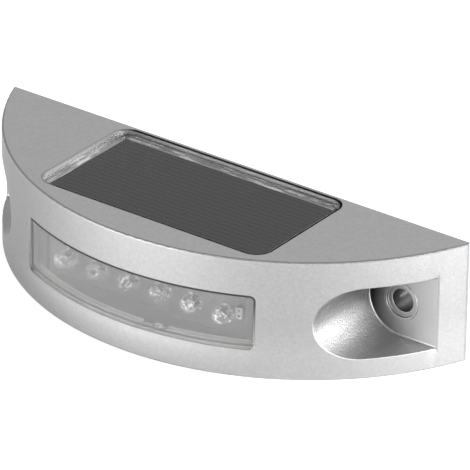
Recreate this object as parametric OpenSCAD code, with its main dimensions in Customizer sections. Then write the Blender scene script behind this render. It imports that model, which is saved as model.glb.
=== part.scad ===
// Half-moon solar wall light: a die-cast shell with a solar panel in its flat top, a curved
// window with a row of small lamps in its front, and a screw pocket at each end.
// Millimetres. X runs along the wall, +Y into the wall, +Z up. The origin lies on the wall
// plane, midway between the two fixing screws.

/* [Body] */
// Overall width, end to end
body_w = 150; // [146:1:170]
// Depth from the wall to the middle of the front
body_d = 51; // [50:0.5:56]
// Overall height
body_h = 34.7; // [34.5:0.1:38]
// Length of the flat at each end, next to the wall
end_flat = 1; // [0.6:0.1:3]
// Wall thickness of the curved front
wall_t = 2.5; // [2:0.1:2.8]
// Thickness of the floor
floor_t = 3.4; // [2.6:0.1:3.8]
// Round on the upper and lower front edges
edge_r = 0.6; // [0.3:0.1:1]
// Corner radius of the chamber
chamber_corner_r = 2; // [1.5:0.1:2.5]

/* [Screw pockets] */
// Metal between the chamber and a pocket
pocket_side_t = 5.7; // [5:0.1:8]
// Height of the screw line above the underside
screw_rise = 16.2; // [15.8:0.1:17]
// Radius of the round end of a pocket
pocket_r = 10.3; // [8:0.1:11]
// Distance from the wall plane to the pocket's floor
pocket_floor = 8.5; // [7.5:0.1:10]
// Thickness of the pocket's floor
pocket_floor_t = 5.2; // [4:0.1:7]
// Wall thickness around a pocket
pocket_wall_t = 2.2; // [1.8:0.1:2.6]
// Radius of the fixing screw's hole
screw_hole_r = 3.3; // [2.5:0.1:3.6]
// Wall of the boss that carries the hole on to the wall plane
screw_boss_t = 2.2; // [1.6:0.1:2.6]
// Radius of the seat for the screw's head
screw_seat_r = 4.6; // [4.2:0.1:5]
// Depth of the seat for the screw's head
screw_seat_h = 0.5; // [0.2:0.1:1]
// Width of the raised ring around the seat
seat_ring_w = 0.7; // [0.4:0.1:1]
// Height of the raised ring around the seat
seat_ring_h = 0.4; // [0.2:0.1:0.6]

/* [Solar panel] */
// Distance from the chamber's side to the opening in the top
panel_side = 7.3; // [5:0.1:9]
// Strip of metal between the opening and the front, at the opening's corners
panel_front = 2.44; // [2:0.02:4]
// Strip of metal between the opening and the wall
panel_back = 1.2; // [1:0.1:1.6]
// Corner radius of the opening in the top
panel_corner_r = 4.5; // [2:0.1:5]
// Depth of the panel's face below the top
panel_sunk = 1.6; // [1:0.1:1.8]
// Thickness of the clear resin over the panel
resin_t = 1.2; // [1:0.1:1.4]
// Thickness of the dark cell
cell_t = 0.4; // [0.3:0.05:0.6]
// Clear margin from the opening to the cell
cell_margin = 2.5; // [2:0.1:4]
// Thickness of the panel's backing board
backing_t = 1.2; // [1:0.1:1.4]
// Thickness of the glue bead under the panel
bead_t = 0.4; // [0.3:0.05:0.5]
// Width of the ledge that carries the panel
ledge_w = 2; // [1.6:0.1:2.6]
// Thickness of the ledge that carries the panel
ledge_t = 3.5; // [3.2:0.1:3.7]

/* [Window] */
// Distance from each end of the body to the window
window_side = 37.9; // [36:0.1:40]
// Height of the band above the window
band_above = 10.5; // [10.3:0.1:12]
// Height of the band below the window
band_below = 8.2; // [8:0.1:9]
// Corner radius of the window
window_corner_r = 1.5; // [1.2:0.1:2.5]
// Depth of the lens's face behind the front of the body
lens_sunk = 0.6; // [0.3:0.1:1]
// Thickness of the lens
lens_t = 2.45; // [2:0.05:2.6]
// Width of the flange around the lens
flange_w = 1.6; // [1.2:0.1:1.7]
// Thickness of the flange around the lens
flange_t = 1.5; // [1.2:0.1:1.8]
// Thickness of the rim wall behind the lens
lens_rim_t = 1; // [0.8:0.1:1.4]
// Thickness of the lens's gasket
lens_gasket_t = 0.8; // [0.5:0.1:1]
// Width of the gap in the lens's lower rim
rim_gap_w = 7.6; // [4:0.2:10]
// Distance of that gap from the middle
rim_gap_x = 8.6; // [0:0.2:14]
// Side of the small peg in that gap
rim_peg = 1.8; // [1:0.1:2.4]
// Thickness of the rim left under that gap
rim_left_t = 0.3; // [0.2:0.05:0.5]
// Corner radius inside the lens's rim
rim_corner_r = 0.5; // [0.3:0.1:1]

/* [Lamps] */
// Number of lamps
led_count = 6; // [4:1:6]
// Distance from the end of the lamp board to the middle of the first lamp
led_end = 6.4; // [6.2:0.1:8]
// Distance of the lamps below the middle of the window
led_drop = 1.4; // [0:0.1:3]
// Radius of a lamp's dome
led_r = 2.4; // [1.5:0.1:2.6]
// Height of a lamp above its board
led_h = 4.8; // [4:0.1:5.4]
// Radius of a lamp's flange
led_flange_r = 2.9; // [2.7:0.1:3.1]
// Thickness of a lamp's flange
led_flange_t = 0.9; // [0.6:0.1:1.2]
// Distance between a lamp's two leads
lead_pitch = 2.54; // [2:0.02:3]
// Radius of a lead
lead_r = 0.25; // [0.2:0.05:0.35]
// Distance from the window's side to the end of the lamp board
lamp_board_side = 5.3; // [4.5:0.1:6]
// Height of the lamp board that the casting hides, above and below the window
lamp_board_hidden = 1.3; // [1:0.1:1.4]
// Thickness of the lamp board
lamp_board_t = 1.6; // [1:0.1:2]
// Width of the small connector at the board's end
connector_w = 2.2; // [2:0.1:3.2]
// Height of the small connector at the board's end
connector_h = 3.2; // [3:0.1:5]
// Thickness of the small connector at the board's end
connector_t = 1.8; // [1:0.1:2.4]
// Height of the connector's middle above the middle of the window
connector_z = 0.7; // [-1:0.1:3]

/* [Lamp frame] */
// Wall of the frame above and below the lamp board
frame_wall_t = 1; // [0.8:0.1:1.1]
// Thickness of the frame's screw plate
frame_plate_t = 2; // [1.8:0.1:2.4]
// Length of the posts that the frame is screwed to
frame_post_l = 1.8; // [1.6:0.1:2.2]
// Side of the posts that the frame is screwed to
frame_post_w = 4.8; // [4.4:0.1:5]
// Distance from the chamber's top and bottom to the frame's screws
frame_screw_in = 5.2; // [4:0.1:6]
// Height of the ribs that hold the lamp board in
snap_h = 0.5; // [0.3:0.1:0.6]
// Length of the ribs that hold the lamp board in
snap_l = 6; // [4:0.5:10]

/* [Back cover] */
// Thickness of the back cover
cover_t = 2.2; // [2:0.1:2.6]
// Width of the seat around the back cover
cover_seat_w = 1.5; // [1.2:0.1:1.6]
// Thickness of the cover's gasket
cover_gasket_t = 0.8; // [0.5:0.1:1.2]
// Side of the posts for the cover's screws
cover_post_w = 5.6; // [5.2:0.1:6]
// Length of the posts for the cover's screws
cover_post_l = 7.6; // [6.5:0.1:7.8]
// Distance of the switch from the middle
switch_x = 10; // [6:0.5:12]
// Width of the switch's slot
slot_w = 6.4; // [5.6:0.2:8]
// Height of the switch's slot
slot_h = 3.2; // [2.6:0.1:4]
// Width of the bevel around the switch's slot
slot_bevel = 0.8; // [0.4:0.1:1]

/* [Screws] */
// Radius of a screw's shank
shank_r = 1.25; // [1:0.05:1.3]
// Radius of a screw's head
head_r = 2.3; // [2:0.1:2.4]
// Height of a screw's head
head_h = 1.3; // [1:0.1:1.4]
// Length of the cover's screws
cover_screw_l = 8; // [6:0.5:9]
// Length of the frame's screws under the head
frame_screw_l = 4.5; // [4:0.1:4.8]
// Radius of the circuit board's screws
board_shank_r = 0.9; // [0.7:0.05:1]
// Radius of the heads on the circuit board's screws
board_head_r = 1.7; // [1.4:0.1:2]
// Height of the heads on the circuit board's screws
board_head_h = 1; // [0.8:0.1:1.2]
// Length of the circuit board's screws under the head
board_screw_l = 5; // [4:0.1:5.4]

/* [Circuit board] */
// Width of the circuit board
board_w = 42; // [42:1:48]
// Height of the circuit board
board_h = 16; // [14:0.5:17]
// Thickness of the circuit board
board_t = 1.2; // [0.8:0.1:1.6]
// Height of the circuit board's middle, from the screw line
board_z = -1; // [-2:0.1:0]
// Radius of the posts that carry the circuit board
standoff_r = 2.1; // [1.8:0.1:2.3]
// Space for parts in front of the circuit board
parts_space = 3.5; // [3.4:0.1:4.2]
// Width of the switch's case
switch_w = 9; // [8.4:0.1:10]
// Height of the switch's case
switch_h = 4.6; // [4.2:0.1:5]
// Depth of the switch's case
switch_d = 3.6; // [3.2:0.1:4]
// Travel of the switch
switch_travel = 2; // [1.5:0.1:2.2]
// Width of the switch's knob
knob_w = 2.4; // [2:0.1:2.6]
// Height of the switch's knob
knob_h = 1.6; // [1.4:0.1:2]
// Depth of the knob's end behind the wall plane
knob_sunk = 0.4; // [0.2:0.1:1]

/* [Battery] */
// Radius of the battery
battery_r = 7.25; // [6.8:0.05:7.3]
// Length of the battery, with its button
battery_l = 50.5; // [44:0.1:51]
// Wall thickness of the battery holder
holder_t = 1.5; // [1.2:0.1:1.6]
// Thickness of the tape under the holder
tape_t = 0.8; // [0.5:0.1:1]
// Thickness of the contact plates
plate_t = 0.4; // [0.3:0.05:0.6]
// Length of the battery's spring as fitted
spring_l = 5; // [4:0.1:7]
// Number of turns in the battery's spring
spring_turns = 4; // [3:1:6]
// Radius of the spring's wire
spring_wire_r = 0.35; // [0.25:0.05:0.4]
// Radius of the spring's widest turn
spring_wide_r = 4.6; // [4:0.1:5.5]
// Radius of the spring's narrowest turn
spring_narrow_r = 3; // [2:0.1:3.5]
// Radius of a wire with its insulation
wire_r = 0.6; // [0.4:0.05:0.7]

/* [Hidden] */
$fn = 64;
// Facets of the large front curve
curve_fn = 360;
// Gap that lets one piece drop into another
fit = 0.2;
// Gap between curved faces that lie against each other
curve_gap = 0.05;
// Length by which a cut runs past the face it opens
past = 1;

// Front curve, from the chord between the two end flats
sagitta = body_d - end_flat;
front_r = (sagitta * sagitta + body_w * body_w / 4) / (2 * sagitta);
curve_y = front_r - body_d;

// Heights
under_z = -screw_rise;
top_z = body_h - screw_rise;
panel_top_z = top_z - panel_sunk;
backing_top_z = panel_top_z - resin_t;
backing_z = backing_top_z - backing_t;
ledge_z = backing_z - bead_t;
window_h = body_h - band_above - band_below;
window_z = under_z + band_below + window_h / 2;
chamber_top_z = ledge_z - ledge_t;
chamber_z = under_z + floor_t;
chamber_h = chamber_top_z - chamber_z;
chamber_mid_z = (chamber_top_z + chamber_z) / 2;

// Widths: the window follows the body, the chamber takes the lens's flange and the frame's
// posts, and a pocket stands at each end of the chamber
flange_gap = 0.3;
window_w = body_w - 2 * window_side;
chamber_w = window_w + 2 * (flange_w + flange_gap + fit + frame_post_w);
screw_pitch = chamber_w + 2 * (pocket_side_t + pocket_r);
panel_w = chamber_w - 2 * panel_side;
panel_l = sqrt(front_r * front_r - panel_w * panel_w / 4) - curve_y - panel_front - panel_back;

// Back cover
seat_y = -cover_t - cover_gasket_t;
cover_post_x = chamber_w / 2 - cover_post_w / 2;
cover_post_z = chamber_h / 2 - cover_post_w / 2;
shank_hole_r = shank_r + 0.03;
clear_hole_r = shank_r + 0.2;

// Lens, from the front inwards
lens_face_r = front_r - lens_sunk;
lens_in_r = lens_face_r - lens_t;
inner_r = front_r - wall_t;
flange_face_r = inner_r - lens_gasket_t;
flange_back_r = flange_face_r - flange_t;
flange_full_w = window_w + 2 * flange_w;
flange_full_h = window_h + 2 * flange_w;
plug_w = window_w - fit;
plug_h = window_h - fit;
lens_open_w = plug_w - 2 * lens_rim_t;
lens_open_h = plug_h - 2 * lens_rim_t;

// Lamps: the outer lamps just clear the curved lens
led_clear = 0.3;
lamp_board_w = window_w - 2 * lamp_board_side;
lamp_board_h = window_h + 2 * lamp_board_hidden;
led_pitch = (lamp_board_w - 2 * led_end) / (led_count - 1);
led_row_x = (led_count - 1) * led_pitch / 2;
dome_reach = lens_in_r - led_clear - led_r;
dome_y = curve_y - sqrt(dome_reach * dome_reach - led_row_x * led_row_x);
lamp_board_y = dome_y + led_h - led_r;
lamp_board_back = lamp_board_y + lamp_board_t;
lead_l = lamp_board_t + 1;
led_z = window_z - led_drop;

// Lamp frame
frame_opening_w = lamp_board_w + 2 * fit;
frame_opening_h = lamp_board_h + fit;
frame_view_h = plug_h;
frame_front_r = flange_back_r - curve_gap;
frame_h = frame_opening_h + 2 * frame_wall_t;
frame_post_x = chamber_w / 2 - frame_post_w / 2;
frame_plate_y = curve_y - sqrt(inner_r * inner_r - pow(frame_post_x, 2)) + frame_post_l;
frame_back_y = frame_plate_y + frame_plate_t;
frame_body_w = 2 * (chamber_w / 2 - frame_post_w - fit);
frame_plate_w = chamber_w - 2 * fit;
frame_screw_z = chamber_h / 2 - frame_screw_in;
frame_plate_h = chamber_h - 2 * fit;

// Circuit board and switch
switch_gap = 0.4;
board_back_y = -cover_t - switch_gap - switch_d;
board_front_y = board_back_y - board_t;
standoff_l = switch_gap + switch_d;
standoff_x = board_w / 2 - standoff_r - 0.9;
slide_gap = 0.1;
slider_y = -cover_t - switch_gap;
case_wall_t = 0.8;
foot_h = knob_h + 0.8;
foot_w = knob_w + 1.2;
foot_t = 0.8;
cavity_w = foot_w + switch_travel + 2 * fit;
cavity_h = foot_h + 2 * slide_gap;
cavity_d = foot_t + 0.6;

// Battery and its holder
battery_gap = 0.2;
holder_w = 2 * battery_r + 2 * battery_gap + 2 * holder_t;
holder_in_l = battery_l + spring_l + 2 * plate_t;
holder_l = holder_in_l + 2 * holder_t;
holder_y = board_front_y - parts_space - holder_w / 2;
holder_z = chamber_z + tape_t;
battery_z = holder_z + holder_t + battery_r;
holder_wall_top = battery_z;
holder_front_y = holder_y - holder_w / 2;
// The battery's button rests against the plate at +X, and the spring fills the gap at -X
plus_x = holder_in_l / 2 - plate_t;
minus_x = -holder_in_l / 2 + plate_t;
button_h = 1;
button_r = 2.7;
tab_w = 3;
plate_w = 9;
tab_y = holder_y + plate_w / 2 - tab_w / 2;
tab_top_z = battery_z + battery_r + 2;
battery_pad_in = 3;
battery_wire_x = board_w / 2 - battery_pad_in;

// Basic shapes

module rounded(w, h, r) {
    square([w - 2 * r, h], center = true);
    square([w, h - 2 * r], center = true);
    for (x = [-1, 1], y = [-1, 1]) translate([x * (w / 2 - r), y * (h / 2 - r)]) circle(r);
}

// Draws a flat shape in X and Z and gives it depth from y0 to y1
module along_y(y0, y1) {
    translate([0, y1, 0]) rotate([90, 0, 0]) linear_extrude(y1 - y0) children();
}

module both_sides() {
    children();
    mirror([1, 0, 0]) children();
}

// A curved slab that follows the front, between two radii
module curved_slab(r0, r1) {
    translate([0, curve_y, under_z]) difference() {
        cylinder(r = r1, h = body_h, $fn = curve_fn);
        translate([0, 0, -past]) cylinder(r = r0, h = body_h + 2 * past, $fn = curve_fn);
    }
}

// The part of a curved slab that shows through a flat shape in X and Z
module curved_plate(r0, r1) {
    intersection() {
        curved_slab(r0, r1);
        along_y(-body_d, -end_flat) children();
    }
}

// A screw that points along -Y, its head's outer face at the origin
module countersunk_screw(l) {
    difference() {
        union() {
            rotate([90, 0, 0]) cylinder(r1 = head_r, r2 = shank_r, h = head_h);
            rotate([90, 0, 0]) cylinder(r = shank_r, h = l);
        }
        screw_cross(head_r);
    }
}

module pan_screw(l, r, head, h) {
    difference() {
        union() {
            translate([0, h, 0]) rotate([90, 0, 0]) cylinder(r = head, h = h);
            rotate([90, 0, 0]) cylinder(r = r, h = l);
        }
        translate([0, h, 0]) screw_cross(head);
    }
}

module screw_cross(head) {
    cross_l = 1.2 * head;
    cross_w = 0.25 * head;
    cross_d = 0.6;
    cube([cross_l, 2 * cross_d, cross_w], center = true);
    cube([cross_w, 2 * cross_d, cross_l], center = true);
}

// Housing

// Section of the body, from the curve's centre out to the front, with rounded corners
module body_section() {
    square([front_r - edge_r, body_h]);
    translate([0, edge_r]) square([front_r, body_h - 2 * edge_r]);
    for (z = [edge_r, body_h - edge_r]) translate([front_r - edge_r, z]) circle(edge_r);
}

module body_block() {
    intersection() {
        translate([0, curve_y, under_z]) rotate_extrude($fn = curve_fn) body_section();
        translate([-body_w / 2, -body_d, under_z]) cube([body_w, body_d, body_h]);
    }
}

module pocket_outline(r) {
    translate([screw_pitch / 2, 0]) {
        circle(r);
        translate([0, -r]) square([body_w / 2, 2 * r]);
    }
}

module pocket_cut() {
    difference() {
        along_y(-body_d, -pocket_floor) pocket_outline(pocket_r);
        along_y(-pocket_floor - seat_ring_h, -pocket_floor)
            translate([screw_pitch / 2, 0]) circle(screw_seat_r + seat_ring_w);
    }
    along_y(-pocket_floor - seat_ring_h - past, -pocket_floor + screw_seat_h)
        translate([screw_pitch / 2, 0]) circle(screw_seat_r);
    along_y(-pocket_floor - past, past) translate([screw_pitch / 2, 0]) circle(screw_hole_r);
}

// Hollow behind a pocket, open at the wall, with the screw hole's boss left standing in it
module end_hollow() {
    inner_x = chamber_w / 2 + cover_seat_w + 3;
    inner_top = top_z - wall_t;
    floor_back = -(pocket_floor - pocket_floor_t);
    difference() {
        intersection() {
            translate([0, curve_y, under_z + wall_t])
                cylinder(r = inner_r, h = inner_top - under_z - wall_t, $fn = curve_fn);
            union() {
                translate([inner_x, floor_back, under_z])
                    cube([body_w / 2 - wall_t - inner_x, past - floor_back, body_h]);
                translate([inner_x, -body_d, 0])
                    cube([body_w / 2 - wall_t - inner_x, body_d + past, body_h]);
            }
        }
        along_y(-body_d - past, floor_back) pocket_outline(pocket_r + pocket_wall_t);
        along_y(floor_back - past, 2 * past) translate([screw_pitch / 2, 0]) circle(screw_hole_r + screw_boss_t);
    }
}

module panel_outline(inset) {
    translate([0, -panel_back - panel_l / 2])
        rounded(panel_w - 2 * inset, panel_l - 2 * inset, max(panel_corner_r - inset, 0.8));
}

module panel_well() {
    translate([0, 0, ledge_z]) linear_extrude(top_z - ledge_z + past) panel_outline(0);
    translate([0, 0, chamber_z + past]) linear_extrude(ledge_z - chamber_z) panel_outline(ledge_w);
}

module chamber() {
    intersection() {
        translate([0, curve_y, chamber_z]) cylinder(r = inner_r, h = chamber_h, $fn = curve_fn);
        along_y(-body_d, past) translate([0, chamber_mid_z]) rounded(chamber_w, chamber_h, chamber_corner_r);
    }
    along_y(seat_y, past) translate([0, chamber_mid_z]) cover_outline(0);
}

module cover_outline(inset) {
    rounded(chamber_w + 2 * cover_seat_w - 2 * inset, chamber_h + 2 * cover_seat_w - 2 * inset,
        chamber_corner_r + cover_seat_w - inset);
}

module window_outline(w, h, r) {
    translate([0, window_z]) rounded(w, h, r);
}

module window_cut() {
    along_y(-body_d - past, -body_d / 2) window_outline(window_w, window_h, window_corner_r);
}

module cover_posts() {
    for (side = [-1, 1])
        translate([cover_post_x + 0.5, seat_y - cover_post_l / 2, chamber_mid_z + side * (cover_post_z + 0.5)])
            cube([cover_post_w + 1, cover_post_l, cover_post_w + 1], center = true);
}

module frame_posts() {
    intersection() {
        for (side = [-1, 1])
            translate([frame_post_x - frame_post_w / 2, -body_d,
                chamber_mid_z + side * frame_screw_z - frame_post_w / 2])
                cube([frame_post_w + 1, body_d + frame_plate_y, frame_post_w]);
        translate([0, curve_y, under_z]) cylinder(r = front_r - wall_t / 2, h = body_h, $fn = curve_fn);
    }
}

module cover_screw_places() {
    for (side = [-1, 1]) translate([cover_post_x, 0, chamber_mid_z + side * cover_post_z]) children();
}

module frame_screw_places() {
    for (side = [-1, 1]) translate([frame_post_x, frame_back_y, chamber_mid_z + side * frame_screw_z])
        children();
}

module housing() {
    color("silver") difference() {
        union() {
            difference() {
                body_block();
                panel_well();
                chamber();
                window_cut();
                both_sides() end_hollow();
                both_sides() pocket_cut();
            }
            both_sides() {
                cover_posts();
                frame_posts();
            }
        }
        both_sides() {
            cover_screw_places() rotate([90, 0, 0]) cylinder(r = shank_hole_r, h = cover_screw_l + 0.5);
            frame_screw_places() rotate([90, 0, 0]) cylinder(r = shank_hole_r, h = frame_screw_l + 0.5);
        }
    }
}

// Window

module window_lens() {
    color("white", 0.5) difference() {
        union() {
            curved_plate(flange_back_r, lens_face_r)
                window_outline(plug_w, plug_h, window_corner_r - fit / 2);
            curved_plate(flange_back_r, flange_face_r)
                window_outline(flange_full_w, flange_full_h, window_corner_r + flange_w);
        }
        curved_plate(flange_back_r - past, lens_in_r)
            window_outline(lens_open_w, lens_open_h, rim_corner_r);
        difference() {
            curved_plate(flange_back_r - past, lens_in_r)
                translate([rim_gap_x, window_z - lens_open_h / 2])
                    square([rim_gap_w, 2 * (lens_rim_t - rim_left_t)], center = true);
            curved_plate(flange_back_r - 2 * past, lens_in_r)
                translate([rim_gap_x + rim_peg / 2, window_z - lens_open_h / 2 - lens_rim_t])
                    square([rim_peg, 2 * lens_rim_t], center = true);
        }
    }
}

module lens_gasket() {
    color("dimgray") difference() {
        curved_plate(flange_face_r + curve_gap, inner_r - curve_gap)
            window_outline(flange_full_w, flange_full_h, window_corner_r + flange_w);
        along_y(-body_d - past, 0) window_outline(window_w, window_h, window_corner_r);
    }
}

// Lamps

module window_square(w, h) {
    translate([0, window_z]) square([w, h], center = true);
}

module lamp_frame() {
    color("lightgray") difference() {
        union() {
            intersection() {
                translate([0, curve_y, under_z]) cylinder(r = frame_front_r, h = body_h, $fn = curve_fn);
                along_y(-body_d, frame_plate_y + past) window_square(frame_body_w, frame_h);
            }
            along_y(frame_plate_y, frame_back_y)
                translate([0, chamber_mid_z]) rounded(frame_plate_w, frame_plate_h, chamber_corner_r);
        }
        along_y(-body_d, lamp_board_y) window_square(frame_opening_w, frame_view_h);
        difference() {
            along_y(lamp_board_y, frame_back_y + past) window_square(frame_opening_w, frame_opening_h);
            snap_ribs();
        }
        both_sides() frame_screw_places() rotate([90, 0, 0])
            translate([0, 0, -past]) cylinder(r = clear_hole_r, h = frame_plate_t + 2 * past);
    }
}

// Ribs that the lamp board snaps past
module snap_ribs() {
    both_sides() for (side = [-1, 1])
        translate([lamp_board_w / 4 - snap_l / 2, lamp_board_back + 2 * curve_gap,
            window_z + side * frame_opening_h / 2])
            rotate([90, 0, 90]) linear_extrude(snap_l)
                polygon([[0, 0], [0, -side * snap_h], [0.4, -side * snap_h], [1.4, 0]]);
}

module led_board() {
    color("gainsboro") difference() {
        along_y(lamp_board_y, lamp_board_back) window_square(lamp_board_w, lamp_board_h);
        for (i = [0 : led_count - 1], side = [-1, 1])
            translate([led_x(i) + side * lead_pitch / 2, lamp_board_back + past, led_z])
                rotate([90, 0, 0]) cylinder(r = lead_r + curve_gap, h = lamp_board_t + 2 * past, $fn = 24);
    }
}

function led_x(i) = i * led_pitch - led_row_x;

// A flange has flats where its neighbours come close
module led(i) {
    flat_w = led_pitch - fit;
    if (i < led_count) color("white", 0.6) translate([led_x(i), lamp_board_y, led_z]) rotate([90, 0, 0]) {
        intersection() {
            cylinder(r = led_flange_r, h = led_flange_t);
            translate([-flat_w / 2, -led_flange_r - past, -past])
                cube([flat_w, 2 * (led_flange_r + past), led_flange_t + 2 * past]);
        }
        cylinder(r = led_r, h = led_h - led_r);
        intersection() {
            translate([0, 0, led_h - led_r]) sphere(led_r);
            cylinder(r = led_r + past, h = led_h + past);
        }
        for (side = [-1, 1]) translate([side * lead_pitch / 2, 0, -lead_l])
            cylinder(r = lead_r, h = lead_l + led_flange_t / 2, $fn = 24);
    }
}

module led_1() led(0);
module led_2() led(1);
module led_3() led(2);
module led_4() led(3);
module led_5() led(4);
module led_6() led(5);

module led_connector() {
    pin_hole = 0.7;
    color("ivory")
        translate([lamp_board_w / 2 - connector_w / 2, lamp_board_y - connector_t / 2, window_z + connector_z])
        difference() {
            cube([connector_w, connector_t, connector_h], center = true);
            for (side = [-1, 1]) translate([0, -connector_t / 2, side * connector_h / 4])
                cube([pin_hole, connector_t, pin_hole], center = true);
        }
}

module frame_screws() {
    color("gray") both_sides() frame_screw_places() pan_screw(frame_screw_l, shank_r, head_r, head_h);
}

// Solar panel

module cell_outline(extra) {
    translate([0, -panel_back - panel_l / 2])
        square([panel_w - 2 * cell_margin + 2 * extra, panel_l - 2 * cell_margin + 2 * extra], center = true);
}

module panel_resin() {
    color("white", 0.4) difference() {
        translate([0, 0, backing_top_z]) linear_extrude(resin_t) panel_outline(fit);
        translate([0, 0, backing_top_z - past]) linear_extrude(cell_t + past) cell_outline(0);
    }
}

module solar_cell() {
    color("#3c3c3e") translate([0, 0, backing_top_z]) linear_extrude(cell_t) cell_outline(0);
}

module panel_backing() {
    color("white") translate([0, 0, backing_z]) linear_extrude(backing_t) panel_outline(fit);
}

module panel_bead() {
    color("white", 0.7) translate([0, 0, ledge_z]) linear_extrude(bead_t) difference() {
        panel_outline(2 * fit);
        panel_outline(ledge_w - fit);
    }
}

// Back cover

module back_cover() {
    bevel_w = slot_w + 2 * slot_bevel;
    bevel_h = slot_h + 2 * slot_bevel;
    color("#2b2b2d") difference() {
        union() {
            along_y(-cover_t, 0) translate([0, chamber_mid_z]) cover_outline(fit);
            board_screw_places() rotate([90, 0, 0]) translate([0, 0, cover_t / 2])
                cylinder(r = standoff_r, h = standoff_l + cover_t / 2);
        }
        both_sides() cover_screw_places() rotate([90, 0, 0]) {
            translate([0, 0, -past]) cylinder(r = clear_hole_r, h = cover_t + 2 * past);
            cylinder(r1 = head_r + 0.1, r2 = shank_r, h = head_h + 0.1);
        }
        board_screw_places() rotate([90, 0, 0]) translate([0, 0, cover_t / 2])
            cylinder(r = board_shank_r + 0.03, h = standoff_l + cover_t);
        translate([switch_x, 0, board_z]) {
            cube([slot_w, 3 * cover_t, slot_h], center = true);
            cube([bevel_w, cover_t, bevel_h], center = true);
        }
    }
}

module board_screw_places() {
    for (side = [-1, 1]) translate([side * standoff_x, 0, board_z]) children();
}

module cover_gasket() {
    color("#1d1d1f") difference() {
        along_y(seat_y, -cover_t) translate([0, chamber_mid_z]) difference() {
            cover_outline(fit);
            rounded(chamber_w, chamber_h, chamber_corner_r);
        }
    }
    color("#1d1d1f") intersection() {
        along_y(seat_y, -cover_t) translate([0, chamber_mid_z])
            rounded(chamber_w + cover_seat_w, chamber_h + cover_seat_w, chamber_corner_r + cover_seat_w / 2);
        both_sides() cover_screw_places() rotate([90, 0, 0]) difference() {
            translate([0.5, 0, 0]) cylinder(r = cover_post_w / 2 + 0.4, h = body_d, $fn = 48);
            cylinder(r = clear_hole_r, h = body_d);
        }
    }
}

module cover_screws() {
    color("gray") both_sides() cover_screw_places() countersunk_screw(cover_screw_l);
}

// Circuit board

module control_board() {
    color("darkgreen") difference() {
        along_y(board_front_y, board_back_y) translate([0, board_z]) square([board_w, board_h], center = true);
        board_screw_places() rotate([90, 0, 0]) cylinder(r = board_shank_r + 0.1, h = body_d);
        switch_pins(curve_gap);
    }
}

module board_screws() {
    color("gray") board_screw_places() translate([0, board_front_y, 0]) mirror([0, 1, 0])
        pan_screw(board_screw_l, board_shank_r, board_head_r, board_head_h);
}

// Places a part on the front of the circuit board, which faces -Y
module on_board(x, z) {
    translate([x, board_front_y, board_z + z]) rotate([90, 0, 0]) children();
}

module driver_chip() {
    chip_w = 5;
    chip_h = 4;
    chip_t = 1.6;
    leg_w = 0.5;
    color("#222224") on_board(-2, -3) {
        translate([0, 0, chip_t / 2]) cube([chip_w, chip_h, chip_t], center = true);
        for (side = [-1, 1], i = [-1.5 : 1 : 1.5])
            translate([i * 1.27, side * (chip_h / 2 + 0.4), 0.3]) cube([leg_w, 1.2, 0.6], center = true);
    }
}

module inductor() {
    color("seagreen") on_board(8, -4) {
        translate([-3.5, 0, 1.5]) rotate([0, 90, 0]) cylinder(r = 1.5, h = 7);
        for (side = [-1, 1]) translate([side * 3, 0, 0]) cylinder(r = 0.3, h = 1.5, $fn = 24);
    }
}

module blocking_diode() {
    color("black") on_board(-11, -3) {
        translate([-1.8, 0, 1]) rotate([0, 90, 0]) cylinder(r = 1, h = 3.6);
        for (side = [-1, 1]) translate([side * 1.4, 0, 0]) cylinder(r = 0.3, h = 1, $fn = 24);
    }
}

module capacitor() {
    color("darkslateblue") on_board(-6, 4) {
        cylinder(r = 2, h = 3.2);
    }
}

module switch_pins(extra) {
    for (i = [-1 : 1]) translate([switch_x + 2.5 * i, board_back_y + past / 2, board_z])
        rotate([90, 0, 0]) cylinder(r = 0.35 + extra, h = board_t + past, $fn = 24);
}

module switch_case() {
    color("#2a2a2c") difference() {
        union() {
            along_y(board_back_y, slider_y) translate([switch_x, board_z])
                square([switch_w, switch_h], center = true);
            switch_pins(0);
        }
        along_y(slider_y - case_wall_t - cavity_d, slider_y - case_wall_t) translate([switch_x, board_z])
            square([cavity_w, cavity_h], center = true);
        along_y(slider_y - case_wall_t - cavity_d, slider_y + past) translate([switch_x, board_z])
            square([knob_w + switch_travel + 2 * fit, knob_h + 2 * slide_gap], center = true);
    }
}

// The knob rests at the low end of its travel, which is off
module switch_slider() {
    foot_y = slider_y - case_wall_t - slide_gap;
    color("white") translate([switch_x - switch_travel / 2, 0, board_z]) {
        along_y(foot_y - foot_t, foot_y) square([foot_w, foot_h], center = true);
        along_y(foot_y - foot_t / 2, -knob_sunk) square([knob_w, knob_h], center = true);
    }
}

// Battery

module battery_holder() {
    color("#2f2f31") difference() {
        translate([0, holder_y, (holder_z + holder_wall_top) / 2])
            cube([holder_l, holder_w, holder_wall_top - holder_z], center = true);
        translate([0, holder_y, holder_z + holder_t + body_h / 2])
            cube([holder_in_l, holder_w - 2 * holder_t, body_h], center = true);
    }
}

module holder_tape() {
    color("white") translate([0, holder_y, chamber_z + tape_t / 2])
        cube([holder_l - 4, holder_w - 4, tape_t], center = true);
}

module battery_cell() {
    can_l = battery_l - button_h;
    color("seagreen") translate([plus_x, holder_y, battery_z]) rotate([0, -90, 0]) {
        cylinder(r = button_r, h = battery_l / 2);
        translate([0, 0, button_h]) cylinder(r = battery_r, h = can_l);
    }
}

// A plate at the holder's end, with a tab that rises behind the battery and a strip over it
module contact() {
    plate_z = holder_z + holder_t;
    plate_h = battery_z - plate_z + button_r + 1;
    strip_x = battery_wire_x - tab_w / 2;
    color("lightgray") {
        translate([plus_x, holder_y - plate_w / 2, plate_z]) cube([plate_t, plate_w, plate_h]);
        translate([plus_x, tab_y - tab_w / 2, plate_z]) cube([plate_t, tab_w, tab_top_z - plate_z]);
        translate([strip_x, tab_y - tab_w / 2, tab_top_z - plate_t])
            cube([plus_x + plate_t - strip_x, tab_w, plate_t]);
    }
}

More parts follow.
